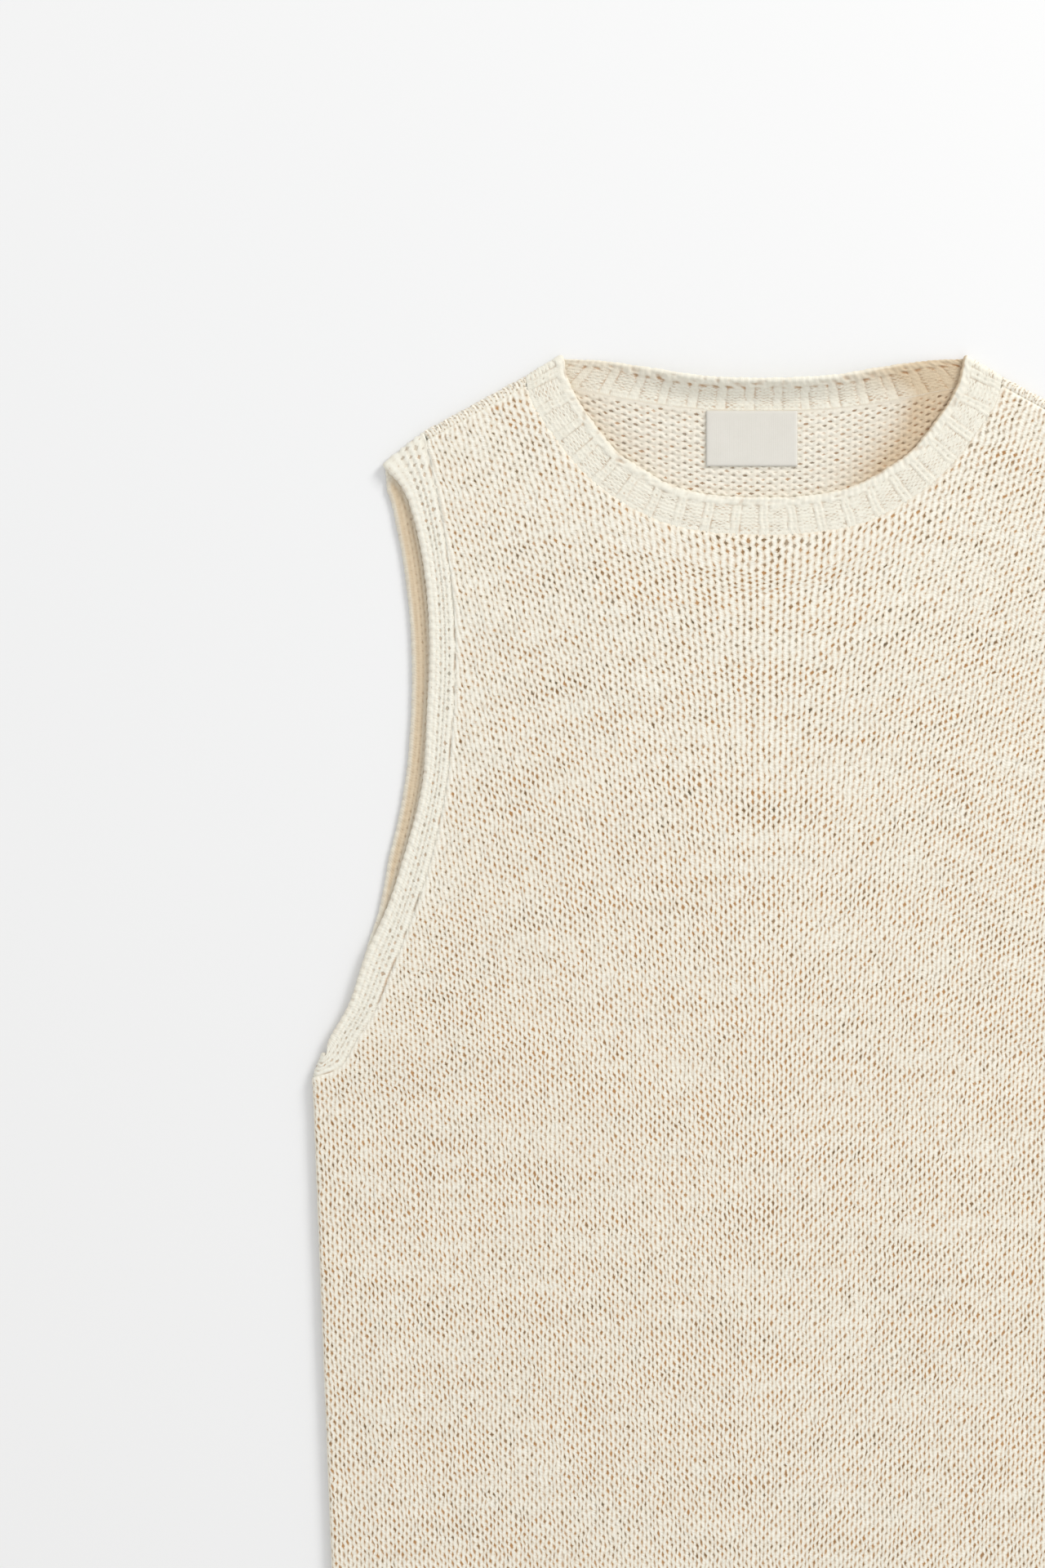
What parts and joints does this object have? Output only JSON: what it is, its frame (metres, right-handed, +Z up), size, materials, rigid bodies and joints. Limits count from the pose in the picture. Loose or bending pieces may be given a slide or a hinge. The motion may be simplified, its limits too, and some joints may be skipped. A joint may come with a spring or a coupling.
{
  "type": "sleeveless knit top",
  "caption": "Sleeveless round-neck top in chunky cream cotton knit, with a ribbed neckband and knitted armhole bands, laid flat with its front up.",
  "frame": {"origin": "middle of the underside, on the surface that the top lies on, halfway between the sides and halfway from hem to neck points", "axes": "+X to the right of the top as seen from its front, +Y from the hem to the neck, +Z up out of the front"},
  "size_m": [0.4528, 0.64, 0.0109],
  "materials": {
    "knit_body": "matte",
    "knit_band": "matte",
    "woven_label": "satin"
  },
  "bodies": {
    "root": {"front_panel": "knit_body", "back_panel": "knit_body", "neckband": "knit_band", "armband_left": "knit_band", "armband_right": "knit_band", "label": "woven_label"}
  },
  "joints": []
}
